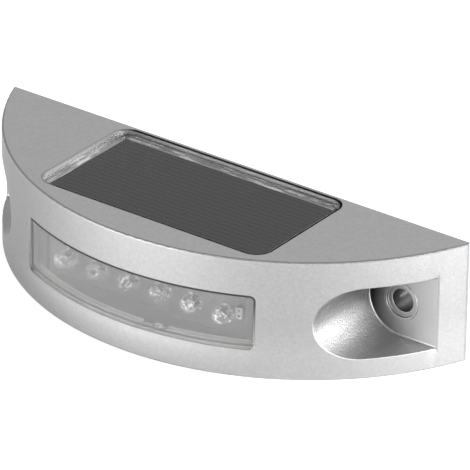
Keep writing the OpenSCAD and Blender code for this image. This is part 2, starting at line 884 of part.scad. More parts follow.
module contact_plus() contact();
module contact_minus() mirror([1, 0, 0]) contact();

// Points around the spring's wire at one ring, on a coil that widens towards its plate
spring_rings = 12;
spring_sides = 6;
function coil_r(t) = spring_wide_r + (spring_narrow_r - spring_wide_r) * t;
function coil_point(t) = [
    minus_x + spring_wire_r + t * (spring_l - 2 * spring_wire_r),
    holder_y + coil_r(t) * cos(360 * spring_turns * t),
    battery_z + coil_r(t) * sin(360 * spring_turns * t)
];

module battery_spring() {
    n = spring_turns * spring_rings;
    points = [
        for (i = [0 : n], s = [0 : spring_sides - 1])
            let (t = i / n, a = 360 * spring_turns * t, b = 360 * s / spring_sides)
            coil_point(t) + spring_wire_r * [sin(b), cos(b) * cos(a), cos(b) * sin(a)]
    ];
    sides = [
        for (i = [0 : n - 1], s = [0 : spring_sides - 1])
            let (k = i * spring_sides + s, m = i * spring_sides + (s + 1) % spring_sides)
            each [[k, k + spring_sides, m], [m, k + spring_sides, m + spring_sides]]
    ];
    first = [[for (s = [0 : spring_sides - 1]) s]];
    last = [[for (s = [spring_sides - 1 : -1 : 0]) n * spring_sides + s]];
    color("silver") polyhedron(points, concat(sides, first, last), convexity = 8);
}

// Wires

// One straight length from a to b
module wire_run(a, b) {
    v = b - a;
    l = norm(v);
    translate(a) rotate([0, acos(v[2] / l), atan2(v[1], v[0])]) cylinder(r = wire_r, h = l, $fn = 24);
}

module wire(points) {
    for (i = [0 : len(points) - 2]) wire_run(points[i], points[i + 1]);
    for (i = [1 : len(points) - 2]) translate(points[i]) sphere(wire_r + 0.02, $fn = 24);
}

panel_wire_x = 3;
wire_bend = 2;
wire_over = 2.5;
wire_pad_in = 2;
wire_drop_y = board_front_y - 2.2;
wire_end_z = board_z + board_h / 2 - wire_pad_in;

function panel_wire(x) = [
    [x, wire_drop_y, backing_z], [x, wire_drop_y, wire_end_z + wire_bend / 2],
    [x, wire_drop_y + wire_bend / 2, wire_end_z], [x, board_front_y, wire_end_z]
];

module panel_wire_red() color("red") wire(panel_wire(panel_wire_x));
module panel_wire_black() color("black") wire(panel_wire(-panel_wire_x / 3));

// From a pad on the lamp board, out of the frame and over the battery
lamp_wire_x = 13;
lamp_pad_in = 3.8;
lamp_pad_z = window_z + lamp_board_h / 2 - lamp_pad_in;
lamp_wire_z = battery_z + battery_r + wire_over;

function lamp_wire(x) = [
    [x, lamp_board_back, lamp_pad_z], [x, frame_back_y + 2 * wire_r, lamp_pad_z],
    [x, holder_front_y, lamp_wire_z], [x, wire_drop_y - wire_bend, lamp_wire_z],
    [x, wire_drop_y, wire_end_z], [x, board_front_y, wire_end_z]
];

module lamp_wire_red() color("red") wire(lamp_wire(lamp_wire_x));
module lamp_wire_black() color("black") wire(lamp_wire(-lamp_wire_x));

// The battery's wires run straight back from the contacts' strips
module battery_wire_black() color("black") mirror([1, 0, 0]) battery_wire();
module battery_wire_red() color("red") battery_wire();

module battery_wire() {
    z = tab_top_z - plate_t / 2;
    wire_run([battery_wire_x, tab_y + tab_w / 2, z], [battery_wire_x, board_front_y, z]);
}

housing();
window_lens();
lens_gasket();
lamp_frame();
frame_screws();
led_board();
led_1();
led_2();
led_3();
led_4();
led_5();
led_6();
led_connector();
panel_resin();
solar_cell();
panel_backing();
panel_bead();
back_cover();
cover_gasket();
cover_screws();
control_board();
board_screws();
driver_chip();
inductor();
blocking_diode();
capacitor();
switch_case();
switch_slider();
battery_holder();
holder_tape();
battery_cell();
battery_spring();
contact_plus();
contact_minus();
panel_wire_red();
panel_wire_black();
battery_wire_red();
battery_wire_black();
lamp_wire_red();
lamp_wire_black();
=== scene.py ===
import math

import bmesh
import bpy
from mathutils import Matrix, Vector


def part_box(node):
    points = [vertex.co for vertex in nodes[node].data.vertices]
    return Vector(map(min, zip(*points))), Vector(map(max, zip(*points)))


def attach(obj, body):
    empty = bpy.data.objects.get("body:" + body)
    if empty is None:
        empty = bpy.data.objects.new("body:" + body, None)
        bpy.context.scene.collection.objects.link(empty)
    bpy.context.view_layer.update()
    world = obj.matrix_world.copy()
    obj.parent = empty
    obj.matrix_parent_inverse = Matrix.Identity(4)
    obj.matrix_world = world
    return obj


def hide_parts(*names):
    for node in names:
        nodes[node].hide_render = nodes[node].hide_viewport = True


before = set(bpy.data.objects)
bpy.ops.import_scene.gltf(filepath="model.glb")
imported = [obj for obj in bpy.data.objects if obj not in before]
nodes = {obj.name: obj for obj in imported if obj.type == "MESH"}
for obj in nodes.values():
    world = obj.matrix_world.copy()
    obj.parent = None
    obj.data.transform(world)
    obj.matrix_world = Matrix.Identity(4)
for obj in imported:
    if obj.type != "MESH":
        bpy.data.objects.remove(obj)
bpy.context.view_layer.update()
mm = 0.001


def corners(name):
    lo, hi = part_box(name)
    return lo, hi, (lo + hi) / 2


housingLo, housingHi, housingMid = corners("housing")
boardLo, _, boardMid = corners("led_board")
resinLo, resinHi, _ = corners("panel_resin")

# The front is one arc, between the short flats that the casting has at both ends next to the wall.
endFlat = 1 * mm
arcDepth = -housingLo.y - endFlat
arcRadius = (arcDepth ** 2 + housingHi.x ** 2) / (2 * arcDepth)
arcY = arcRadius + housingLo.y


# node helpers
def partsOf(finish):
    return finish.node_tree, finish.node_tree.nodes["Principled BSDF"]


def newFinish(name, colour, roughness, metallic=0.0):
    finish = bpy.data.materials.new(name)
    finish.use_nodes = True
    tree, shader = partsOf(finish)
    shader.inputs["Base Color"].default_value = (*colour, 1)
    shader.inputs["Roughness"].default_value = roughness
    shader.inputs["Metallic"].default_value = metallic
    return finish, tree, shader


def addNode(tree, kind, **values):
    made = tree.nodes.new(kind)
    for key, value in values.items():
        setattr(made, key, value)
    return made


def feed(tree, output, shader, *names):
    for name in names:
        tree.links.new(output, shader.inputs[name])


def combined(tree, operation, *values):
    # each value is another node's output or a plain number
    step = addNode(tree, "ShaderNodeMath", operation=operation)
    for socket, value in zip(step.inputs, values):
        if isinstance(value, (int, float)):
            socket.default_value = value
        else:
            tree.links.new(value, socket)
    return step.outputs["Value"]


def mapped(tree, value, fromMin, fromMax, toMin=0.0, toMax=1.0):
    stretch = addNode(tree, "ShaderNodeMapRange")
    limits = {"From Min": fromMin, "From Max": fromMax, "To Min": toMin, "To Max": toMax}
    for name, limit in limits.items():
        stretch.inputs[name].default_value = limit
    tree.links.new(value, stretch.inputs["Value"])
    return stretch.outputs["Result"]


def mixOn(tree, share, first, second):
    mix = addNode(tree, "ShaderNodeMix", data_type="FLOAT")
    for socket, value in ((0, share), (2, first), (3, second)):
        tree.links.new(value, mix.inputs[socket])
    return mix.outputs[0]


def placeOn(tree):
    return addNode(tree, "ShaderNodeTexCoord").outputs["Object"]


def stretched(tree, place, scale):
    mapping = addNode(tree, "ShaderNodeMapping")
    mapping.inputs["Scale"].default_value = scale
    tree.links.new(place, mapping.inputs["Vector"])
    return mapping.outputs["Vector"]


def noiseOn(tree, place, size, detail=2.0, roughness=0.5):
    noise = addNode(tree, "ShaderNodeTexNoise")
    noise.inputs["Scale"].default_value = 1 / size
    noise.inputs["Detail"].default_value = detail
    noise.inputs["Roughness"].default_value = roughness
    tree.links.new(place, noise.inputs["Vector"])
    return noise.outputs["Fac"]


def rampOn(tree, factor, stops):
    ramp = addNode(tree, "ShaderNodeValToRGB")
    elements = ramp.color_ramp.elements
    for stop, (at, colour) in enumerate(stops):
        element = elements[stop] if stop < 2 else elements.new(at)
        element.position = at
        element.color = (*colour, 1) if hasattr(colour, "__len__") else (colour, colour, colour, 1)
    tree.links.new(factor, ramp.inputs["Fac"])
    return ramp.outputs["Color"]


def noiseTones(tree, noise, low, high):
    # most of a noise lies between 0.3 and 0.7
    return rampOn(tree, noise, [(0.3, low), (0.7, high)])


def alongAxis(tree, axis, lo, hi):
    # 0 to 1 along one axis of the frame
    split = addNode(tree, "ShaderNodeSeparateXYZ")
    tree.links.new(placeOn(tree), split.inputs["Vector"])
    return mapped(tree, split.outputs[axis], lo, hi)


def toneAlong(tree, axis, lo, hi, stops):
    # a tone that changes along one axis: its stops are a share of the way from lo to hi, and the tone there
    return rampOn(tree, alongAxis(tree, axis, lo, hi), stops)


def bumpOn(tree, shader, height, depth, under=None):
    bump = addNode(tree, "ShaderNodeBump")
    bump.inputs["Distance"].default_value = depth
    tree.links.new(height, bump.inputs["Height"])
    if under is not None:
        tree.links.new(under, bump.inputs["Normal"])
    feed(tree, bump.outputs["Normal"], shader, "Normal")
    return bump.outputs["Normal"]


def rippleOn(tree, shader, size, depth, detail=2):
    bumpOn(tree, shader, noiseOn(tree, placeOn(tree), size, detail), depth)


def shade(colour, share):
    return tuple(min(1.0, c * share) for c in colour)


def mottle(tree, shader, place, colour, size, spread):
    clouds = noiseOn(tree, place, size, 3)
    tones = noiseTones(tree, clouds, shade(colour, 1 - spread), shade(colour, 1 + spread))
    feed(tree, tones, shader, "Base Color")


def toneOn(finish, tone):
    # the finish's own colour times a tone
    tree, shader = partsOf(finish)
    colour = shader.inputs["Base Color"].links[0].from_socket
    scaled = addNode(tree, "ShaderNodeVectorMath", operation="MULTIPLY")
    tree.links.new(colour, scaled.inputs[0])
    tree.links.new(tone, scaled.inputs[1])
    feed(tree, scaled.outputs["Vector"], shader, "Base Color")
    return finish


# plain finishes: colour, roughness, metallic, grain size in mm, grain depth in mm, spread of tone
plainLooks = {
    "silicone_grey": ((0.12, 0.12, 0.125), 0.6, 0, 0.5, 0.01, 0.1),
    # frame_plastic, board_white and connector_ivory are painted darker than these parts' own colours, as
    # painted shade inside the closed housing behind the window
    "frame_plastic": ((0.13, 0.13, 0.129), 0.45, 0, 0.4, 0.008, 0.04),
    "screw_steel": ((0.5, 0.5, 0.51), 0.3, 1, 0.25, 0.004, 0.08),
    "board_white": ((0.062, 0.062, 0.061), 0.45, 0, 0.6, 0.006, 0.06),
    "connector_ivory": ((0.19, 0.19, 0.18), 0.4, 0, 0.4, 0.006, 0.05),
    "silicone_clear": ((0.55, 0.56, 0.56), 0.35, 0, 0.8, 0.02, 0.08),
    "cover_plastic": ((0.02, 0.02, 0.021), 0.5, 0, 0.3, 0.02, 0.2),
    "gasket_black": ((0.012, 0.012, 0.012), 0.65, 0, 0.5, 0.01, 0.2),
    "board_green": ((0.01, 0.11, 0.045), 0.35, 0, 0.7, 0.006, 0.15),
    "chip_black": ((0.015, 0.015, 0.016), 0.5, 0, 0.3, 0.006, 0.2),
    "inductor_green": ((0.05, 0.22, 0.14), 0.3, 0, 0.6, 0.008, 0.12),
    "capacitor_sleeve": ((0.03, 0.03, 0.11), 0.25, 0, 0.8, 0.004, 0.1),
    "knob_white": ((0.72, 0.72, 0.7), 0.4, 0, 0.4, 0.006, 0.03),
    "foam_white": ((0.75, 0.75, 0.72), 0.9, 0, 0.5, 0.08, 0.08),
    "contact_nickel": ((0.6, 0.57, 0.52), 0.25, 1, 0.3, 0.003, 0.06),
    "lamp_silver": ((0.4, 0.4, 0.4), 0.14, 1, 0.25, 0.01, 0.06),
    "wire_red": ((0.5, 0.012, 0.012), 0.4, 0, 0.6, 0.006, 0.08),
    "wire_black": ((0.014, 0.014, 0.014), 0.4, 0, 0.6, 0.006, 0.2),
}
plainSpread = {"roughness": 0.12, "cloudsToGrain": 4}


def plainFinish(name, look):
    colour, roughness, metallic, size, depth, spread = look
    finish, tree, shader = newFinish(name, colour, roughness, metallic)
    place = placeOn(tree)
    mottle(tree, shader, place, colour, plainSpread["cloudsToGrain"] * size * mm, spread)
    grain = noiseOn(tree, place, size * mm, 3)
    low, high = roughness * (1 - plainSpread["roughness"]), roughness * (1 + plainSpread["roughness"])
    feed(tree, noiseTones(tree, grain, low, min(1, high)), shader, "Roughness")
    bumpOn(tree, shader, grain, depth * mm)
    return finish


# cast metal
castMetal = {
    "colour": (0.335, 0.335, 0.338),
    "roughness": 0.48,
    "smoother": 0.05,
    "rougher": 0.07,
    "metallic": 1.0,
    "clouds": 0.9 * mm,
    "cloudSpread": 0.05,
    "grain": 0.4 * mm,
    "grainDepth": 0.045 * mm,
    "waves": 4 * mm,
    "waveDepth": 0.02 * mm,
}


def castFinish(name, look):
    finish, tree, shader = newFinish(name, look["colour"], look["roughness"], look["metallic"])
    place = placeOn(tree)
    mottle(tree, shader, place, look["colour"], look["clouds"], look["cloudSpread"])
    grain = noiseOn(tree, place, look["grain"], 3, 0.6)
    waves = noiseOn(tree, place, look["waves"])
    low, high = look["roughness"] - look["smoother"], look["roughness"] + look["rougher"]
    feed(tree, noiseTones(tree, grain, low, high), shader, "Roughness")
    soft = bumpOn(tree, shader, waves, look["waveDepth"])
    bumpOn(tree, shader, grain, look["grainDepth"], soft)
    return finish


# painted light and shade on the lower half of the front: its tones at three places along it, from the
# underside upwards, and the stretches where one place's tones turn into the next one's
lowerFrontLightLook = {
    "left": [(0, 0.78), (0.44, 0.93), (1, 1)],
    "middle": [(0, 0.76), (0.25, 0.96), (0.44, 1.18), (0.65, 1)],
    "right": [(0, 1.1), (0.44, 1.12), (1, 1)],
    "leftToMiddle": (-45 * mm, -25 * mm),
    "middleToRight": (13 * mm, 43 * mm),
}


def lowerFrontPaintedLight(tree, look):
    upward = alongAxis(tree, "Z", housingLo.z, 0)
    left, middle, right = (rampOn(tree, upward, look[side]) for side in ("left", "middle", "right"))
    leftHalf = mixOn(tree, alongAxis(tree, "X", *look["leftToMiddle"]), left, middle)
    return mixOn(tree, alongAxis(tree, "X", *look["middleToRight"]), leftHalf, right)


# the shell, with a painted shadow line on the top round the panel's opening, and the painted light and shade
# of the lower front; the line is left out where the last three tones are 1: at the back and at the left, but
# not along the right
shellLook = {
    **castMetal,
    "centre": (0, -20.5 * mm, 0),
    "withoutCorners": (32.2 * mm, 14.8 * mm, 1),
    "corner": 4.5 * mm,
    "line": 0.6 * mm,
    "fadedOut": 0.8 * mm,
    "dark": 0.02,
    "front": ("Y", -40 * mm, -30 * mm, [(0.2, 0), (0.5, 1)]),
    "left": ("X", -37 * mm, -27 * mm, [(0.2, 1), (0.8, 0)]),
    "right": ("X", 27 * mm, 37 * mm, [(0.5, 1), (0.8, 0)]),
}


def shellFinish(look):
    finish = castFinish("cast_shell", look)
    tree, shader = partsOf(finish)
    away = placeOn(tree)  # becomes the distance from the opening's rectangle without its round corners
    for operation, value in (("SUBTRACT", look["centre"]), ("ABSOLUTE", None),
                             ("SUBTRACT", look["withoutCorners"]), ("MAXIMUM", (0, 0, 0)), ("LENGTH", None)):
        step = addNode(tree, "ShaderNodeVectorMath", operation=operation)
        tree.links.new(away, step.inputs[0])
        if value is not None:
            step.inputs[1].default_value = value
        away = step.outputs["Value" if operation == "LENGTH" else "Vector"]
    beyond = mapped(tree, away, look["corner"] + look["line"], look["corner"] + look["fadedOut"])
    backOrLeft = combined(tree, "MAXIMUM", toneAlong(tree, *look["front"]), toneAlong(tree, *look["left"]))
    withoutLine = combined(tree, "MINIMUM", backOrLeft, toneAlong(tree, *look["right"]))
    unshadedMetal = combined(tree, "MAXIMUM", beyond, withoutLine)
    # where the painted shadow line lies, the metal is dark and has no shine
    feed(tree, unshadedMetal, shader, "Metallic", "Specular IOR Level")
    toneOn(finish, rampOn(tree, unshadedMetal, [(0, look["dark"]), (1, 1)]))
    return toneOn(finish, lowerFrontPaintedLight(tree, lowerFrontLightLook))


# the upper front edge is worn smoother near the middle; right under the top its colour is painted darker, as
# a painted shade line between the top and the front
upperRimLook = {
    **castMetal,
    "tone": ("Z", housingHi.z - 0.6 * mm, housingHi.z, [(0.15, 1), (0.45, 0.6)]),
    "shine": ("X", housingLo.x, housingHi.x, [(0.32, 0.78), (0.42, 0.56), (0.6, 0.56), (0.7, 0.78)]),
}


def upperRimFinish(look):
    finish = castFinish("cast_rim_upper", look)
    tree, shader = partsOf(finish)
    toneOn(finish, toneAlong(tree, *look["tone"]))
    feed(tree, toneAlong(tree, *look["shine"]), shader, "Roughness")
    return finish


# painted shade on the pocket's floor: dark next to the pocket's round wall, paler towards the casting's ends
pocketFloorLook = {
    **castMetal,
    "grainDepth": 0.02 * mm,
    "tone": ("X", housingLo.x, housingHi.x,
             [(0.06, 0.36), (0.14, 0.02), (0.84, 0.02), (0.91, 0.288), (0.97, 0.36)]),
}


def pocketFloorFinish(look):
    finish = castFinish("pocket_floor", look)
    tree, shader = partsOf(finish)
    feed(tree, toneAlong(tree, *look["tone"]), shader, "Base Color")
    return finish


# painted light and shade on the pocket's wall: painted brighter towards the bottom, and painted darker in the
# left pocket
pocketWallLook = {
    **castMetal,
    "roughness": 0.4,
    "grain": 0.5 * mm,
    "grainDepth": 0.3 * mm,
    "upward": ("Z", -11 * mm, 11 * mm, [(0.13, 0.58), (0.47, 0.22)]),
    "across": ("X", housingLo.x, housingHi.x, [(0.085, 0.5), (0.14, 0.6), (0.5, 1)]),
}


def pocketWallFinish(look):
    finish = castFinish("cast_pocket", look)
    tree, shader = partsOf(finish)
    tone = combined(tree, "MULTIPLY", toneAlong(tree, *look["upward"]), toneAlong(tree, *look["across"]))
    feed(tree, tone, shader, "Base Color")
    return finish


# the rounded edge of the panel's opening, painted dark as a painted shadow line; less dark and with metal's
# shine at the left end
openingRimLook = {
    **castMetal,
    "roughness": 0.5,
    "tone": ("X", -38 * mm, -30 * mm, [(0.15, 0.2), (0.6, 0.015)]),
    "unshadedMetal": ("X", -38 * mm, -30 * mm, [(0.15, 1), (0.6, 0)]),
}


def openingRimFinish(look):
    finish = castFinish("opening_rim", look)
    tree, shader = partsOf(finish)
    feed(tree, toneAlong(tree, *look["tone"]), shader, "Base Color")
    feed(tree, toneAlong(tree, *look["unshadedMetal"]), shader, "Metallic", "Specular IOR Level")
    return finish


def letLampsThrough(tree, shader, tint):
    # light from the lamps passes the clear piece straight, so that what is behind it is lit
    path = addNode(tree, "ShaderNodeLightPath")
    through = addNode(tree, "ShaderNodeBsdfTransparent")
    through.inputs["Color"].default_value = (*tint, 1)
    mix = addNode(tree, "ShaderNodeMixShader")
    tree.links.new(path.outputs["Is Shadow Ray"], mix.inputs["Fac"])
    tree.links.new(shader.outputs["BSDF"], mix.inputs[1])
    tree.links.new(through.outputs["BSDF"], mix.inputs[2])
    tree.links.new(mix.outputs["Shader"], tree.nodes["Material Output"].inputs["Surface"])


# clear pieces: the tint, how far it bends light, the share let through (the rest makes the haze), and the
# tint of the lamps' light behind it
clearLooks = {
    "clear_lens": {"tint": (0.85, 0.855, 0.85), "bend": 1.49, "roughness": 0.11,
                   "ripple": (3 * mm, 0.01 * mm), "through": 0.95, "behind": (0.6, 0.6, 0.6)},
    "lens_rim_frosted": {"tint": (0.66, 0.66, 0.64), "bend": 1.49, "roughness": 0.4,
                         "ripple": (0.6 * mm, 0.05 * mm), "through": 0.65, "behind": (0.66, 0.66, 0.64)},
    "clear_resin": {"tint": (0.92, 0.925, 0.92), "bend": 1.34, "roughness": 0.03,
                    "ripple": (2 * mm, 0.01 * mm), "through": 1, "behind": (0.92, 0.925, 0.92)},
}


def clearFinish(name, look):
    finish, tree, shader = newFinish(name, look["tint"], look["roughness"])
    shader.inputs["Transmission Weight"].default_value = look["through"]
    shader.inputs["IOR"].default_value = look["bend"]
    rippleOn(tree, shader, *look["ripple"])
    letLampsThrough(tree, shader, look["behind"])
    return finish


# the lamps' body: clear, with pale squiggly lines inside as painted glints, and a pale outline where it is
# seen edge-on as a painted sheen
epoxyLook = {
    "tint": (0.95, 0.95, 0.95), "bend": 1.52, "roughness": 0.03, "ripple": (0.9 * mm, 0.2 * mm),
    "through": 0.98, "behind": (0.95, 0.95, 0.95),
    "glintSize": 1.4 * mm,
    "paintedGlints": [(0, 0), (0.455, 0), (0.5, 0.65), (0.545, 0)],
    "paintedSheen": [(0.72, 0), (0.92, 0.35)],
}


def epoxyFinish(look):
    finish = clearFinish("lamp_epoxy", look)
    tree, shader = partsOf(finish)
    paintedGlints = rampOn(tree, noiseOn(tree, placeOn(tree), look["glintSize"], 1), look["paintedGlints"])
    facing = addNode(tree, "ShaderNodeLayerWeight").outputs["Facing"]
    paintedSheen = rampOn(tree, facing, look["paintedSheen"])
    pale = combined(tree, "MAXIMUM", paintedGlints, paintedSheen)
    feed(tree, combined(tree, "SUBTRACT", look["through"], pale), shader, "Transmission Weight")
    return finish


# solar cell: its fingers are bands of the wave, between these two shares of its height
cellLook = {
    "colour": (0.003, 0.003, 0.0032),
    "finger": (0.017, 0.017, 0.0175),
    "fingerFrom": 0.55,
    "fingerTo": 0.95,
    "pitch": 1.87 * mm,
    "roughness": 0.35,
    "gloss": 0.05,
    "ripple": (0.5 * mm, 0.002 * mm),
}


def cellFinish(look):
    finish, tree, shader = newFinish("cell_dark", look["colour"], look["roughness"])
    bands = addNode(tree, "ShaderNodeTexWave", bands_direction="Y")
    bands.inputs["Scale"].default_value = 2 * math.pi / (20 * look["pitch"])  # the node multiplies by 20
    tree.links.new(placeOn(tree), bands.inputs["Vector"])
    stops = [(look["fingerFrom"], look["colour"]), (look["fingerTo"], look["finger"])]
    feed(tree, rampOn(tree, bands.outputs["Fac"], stops), shader, "Base Color")
    shader.inputs["Specular IOR Level"].default_value = look["gloss"]
    rippleOn(tree, shader, *look["ripple"])
    return finish


# the battery: a plain two-tone sleeve, its band at the button end
sleeveLook = {
    "tones": [(0, (0.03, 0.16, 0.09)), (0.7, (0.035, 0.18, 0.1)), (0.71, (0.55, 0.5, 0.4)),
              (0.97, (0.5, 0.46, 0.38)), (0.98, (0.6, 0.6, 0.6))],
    "roughness": 0.3,
    "ripple": (2 * mm, 0.01 * mm),
}


def sleeveFinish(look):
    finish, tree, shader = newFinish("battery_sleeve", look["tones"][0][1], look["roughness"])
    lo, hi, _ = corners("battery_cell")
    feed(tree, toneAlong(tree, "X", lo.x, hi.x, look["tones"]), shader, "Base Color")
    rippleOn(tree, shader, *look["ripple"])
    return finish


# the board under the clear margin of the panel: pale, with pale streaks that are painted glints of the resin.
# At both ends, a share of the length, the streaks turn to run along the cell's short sides; the far end has a
# painted shadow
backingLook = {
    "colour": 0.33,
    "besidePaintedGlint": 0.396,
    "paintedGlint": 0.95,
    "roughness": 0.5,
    "size": 0.8 * mm,
    "longer": 0.12,
    "streakDepth": 0.02 * mm,
    "end": 0.03,
    "blend": 0.004,
    "shadow": [(0.963, 1), (0.966, 0.03)],
}


def backingFinish(look):
    finish, tree, shader = newFinish("panel_margin", [look["colour"]] * 3, look["roughness"])
    place = placeOn(tree)
    end, blend = look["end"], look["blend"]
    streaks = []
    for scale, inside in (((look["longer"], 1, 1), 1), ((1, look["longer"], 1), 0)):
        outside = 1 - inside
        share = toneAlong(tree, "X", resinLo.x, resinHi.x,
                          [(0, outside), (end, outside), (end + blend, inside), (1 - end - blend, inside),
                           (1 - end, outside)])
        noise = noiseOn(tree, stretched(tree, place, scale), look["size"], 1)
        streaks.append(combined(tree, "MULTIPLY", noise, share))
    tone = rampOn(tree, combined(tree, "MAXIMUM", *streaks),
                  [(0.45, look["colour"]), (0.56, look["besidePaintedGlint"]), (0.63, look["paintedGlint"])])
    lit = toneAlong(tree, "X", resinLo.x, resinHi.x, look["shadow"])
    feed(tree, combined(tree, "MULTIPLY", tone, lit), shader, "Base Color")
    bumpOn(tree, shader, streaks[0], look["streakDepth"])
    return finish


# the lamps' frame: its floor inside the window is painted paler, as painted light, and its left end darker,
# as painted shade
frameLook = {
    "colour": (0.1, 0.1, 0.1),
    "roughness": 0.45,
    "upward": ("Z", -10 * mm, 0, [(0.22, 0.22), (0.3, 0.08)]),
    "across": ("X", -38 * mm, -28 * mm, [(0.45, 0.2), (0.8, 1)]),
    "ripple": (0.6 * mm, 0.006 * mm, 3),
}


def frameFinish(look):
    finish, tree, shader = newFinish("lamp_frame", look["colour"], look["roughness"])
    tone = combined(tree, "MULTIPLY", toneAlong(tree, *look["upward"]), toneAlong(tree, *look["across"]))
    feed(tree, tone, shader, "Base Color")
    rippleOn(tree, shader, *look["ripple"])
    return finish


# the dark bead round the window stands in for the shadow gap there; its colour is painted shade, darkest
# along the top and lighter at the bottom and at the left end
shadowBeadTones = {
    "colour": (0.025, 0.025, 0.025),
    "roughness": 0.6,
    "upward": ("Z", boardMid.z - 9 * mm, boardMid.z + 9 * mm, [(0.1, 0.3), (0.8, 0.012)]),
    "across": ("X", -37.3 * mm, -35 * mm, [(0.1, 0.35), (0.5, 0.012)]),
    "ripple": (0.4 * mm, 0.01 * mm, 3),
}


def shadowBeadFinish(look):
    finish, tree, shader = newFinish("window_shadow_bead", look["colour"], look["roughness"])
    tone = combined(tree, "MAXIMUM", toneAlong(tree, *look["upward"]), toneAlong(tree, *look["across"]))
    feed(tree, tone, shader, "Base Color")
    rippleOn(tree, shader, *look["ripple"])
    return finish


finishes = {name: plainFinish(name, look) for name, look in plainLooks.items()}
finishes.update({name: clearFinish(name, look) for name, look in clearLooks.items()})
finishes["cast_aluminium"] = castFinish("cast_aluminium", castMetal)
finishes["lamp_epoxy"] = epoxyFinish(epoxyLook)
finishes["cell_dark"] = cellFinish(cellLook)
finishes["battery_sleeve"] = sleeveFinish(sleeveLook)
nodeFinish = {"panel_backing": backingFinish(backingLook), "lamp_frame": frameFinish(frameLook)}

shellCast = shellFinish(shellLook)
pocketCast = pocketWallFinish(pocketWallLook)
# painted shade inside the screw hole: its wall is made dark
darkHole = castFinish("screw_hole_wall", {**castMetal, "colour": (0.08, 0.08, 0.08), "roughness": 0.38})
pocketFloor = pocketFloorFinish(pocketFloorLook)
# the lower front edge: rough cast metal, with the same painted light and shade as the lower front
lowerRim = castFinish("cast_rim", {**castMetal, "roughness": 0.78})
toneOn(lowerRim, lowerFrontPaintedLight(lowerRim.node_tree, lowerFrontLightLook))
upperRim = upperRimFinish(upperRimLook)
openingRim = openingRimFinish(openingRimLook)
# painted light and shade in the panel's opening: its side walls are a paler copy of the cast metal, its back
# wall a darker one
openingWall = castFinish("opening_wall", {**castMetal, "colour": (0.4, 0.4, 0.4), "roughness": 0.6})
openingBack = castFinish("opening_back_wall",
                         {**castMetal, "colour": (0.28, 0.28, 0.28), "grainDepth": 0.12 * mm})
print("finishes:", len(finishes))


# finishes on the nodes
slotOf = {}
for name, node in nodes.items():
    for slot in node.material_slots:
        slotOf[name] = slot.material.name
        slot.material = nodeFinish.get(name, finishes[slot.material.name])
print("nodes dressed:", len(nodes))


# softened copies: the angles above which an edge is shaded sharp, and is softened; the angle below which two
# faces are one plane; the distance at which two corners are one
meshLook = {"sharp": math.radians(35), "softened": math.radians(30), "flat": math.radians(0.4),
            "weld": 0.001 * mm}


def finishMesh(bm, name, ownFinishes, body="light", replaced=()):
    mesh = bpy.data.meshes.new(name)
    bm.to_mesh(mesh)
    bm.free()
    for face in mesh.polygons:
        face.use_smooth = True
    mesh.set_sharp_from_angle(angle=meshLook["sharp"])
    for finish in ownFinishes:
        mesh.materials.append(finish)
    piece = bpy.data.objects.new(name, mesh)
    bpy.context.scene.collection.objects.link(piece)
    weigh = piece.modifiers.new("Normals", "WEIGHTED_NORMAL")
    weigh.keep_sharp = True
    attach(piece, body)
    if replaced:
        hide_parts(*replaced)


def mergedCopy(name):
    bm = bmesh.new()
    bm.from_mesh(nodes[name].data)
    bmesh.ops.remove_doubles(bm, verts=bm.verts, dist=meshLook["weld"])
    bmesh.ops.dissolve_limit(bm, angle_limit=meshLook["flat"], verts=bm.verts, edges=bm.edges)
    return bm


def everywhere(place):
    return True


def softenEdges(bm, wanted, width, segments):
    # bevels the sharp edges that have both ends where wanted says
    sharp = [edge for edge in bm.edges
             if edge.is_manifold and abs(edge.calc_face_angle()) > meshLook["softened"]
             and all(wanted(vert.co) for vert in edge.verts)]
    bmesh.ops.bevel(bm, geom=sharp, offset=width, offset_type="OFFSET", affect="EDGES", segments=segments,
                    profile=0.5, material=-1, clamp_overlap=False)
    return len(sharp)


# the housing's front: half the height of its plain part and up to its edges, how deep those are rounded, and
# how far from the middle the window's stretch ends and the pockets' begins and ends
front = {"half": 14 * mm, "edge": 16 * mm, "round": 0.7 * mm, "window": 40 * mm, "pocketFrom": 45 * mm,
         "pocketTo": 70.9 * mm}
# the panel's opening in the top, with its rounded edge
opening = {"half": 37.15 * mm, "front": -40.25 * mm, "back": -0.75 * mm}
# the screw pockets: their centres and round ends, the floor with the fixing screw's hole, the ring round that
# (its radius, how far it is raised to the front and its seat is sunk), and the lip where the floor ends
pocket = {"x": 60 * mm, "radius": 10.3 * mm, "floor": -8.5 * mm, "hole": 4 * mm, "ring": 5.4 * mm,
          "raised": 0.6 * mm, "sunk": 0.6 * mm, "beyondRing": 6.4 * mm, "lip": 71.5 * mm}
# how far off a place may be and still lie on an end, a plane, the arc's facets, the pocket's wall or its lip
near = {"end": 0.02 * mm, "plane": 0.05 * mm, "arc": 0.12 * mm, "wall": 0.1 * mm, "lip": 0.5 * mm}


def fromArc(place):
    return math.hypot(place.x, place.y - arcY) - arcRadius


def fromHole(place):
    return math.hypot(abs(place.x) - pocket["x"], place.z)


def onPocketFloor(place):
    return abs(place.y - pocket["floor"]) < near["plane"]


def onFront(place):
    return abs(fromArc(place)) < near["arc"] and abs(place.z - housingMid.z) < front["half"]


def onWindowRim(place):
    return onFront(place) and abs(place.x) < front["window"]


def onPocketRim(place):
    return onFront(place) and front["pocketFrom"] < abs(place.x) < front["pocketTo"]


def onEnd(place):
    return abs(place.x) > housingHi.x - near["end"] and place.y > -near["end"]


def insideOpening(place):
    return abs(place.x) < opening["half"] and opening["front"] < place.y < opening["back"]


def onPanelRim(place):
    return abs(place.z - housingHi.z) < near["plane"] and insideOpening(place)


def onPocketFoot(place):
    # where the pocket's round wall meets its floor
    inside = pocket["x"] - pocket["radius"] - near["wall"] < abs(place.x) < pocket["lip"]
    return inside and onPocketFloor(place) and fromHole(place) > pocket["beyondRing"]


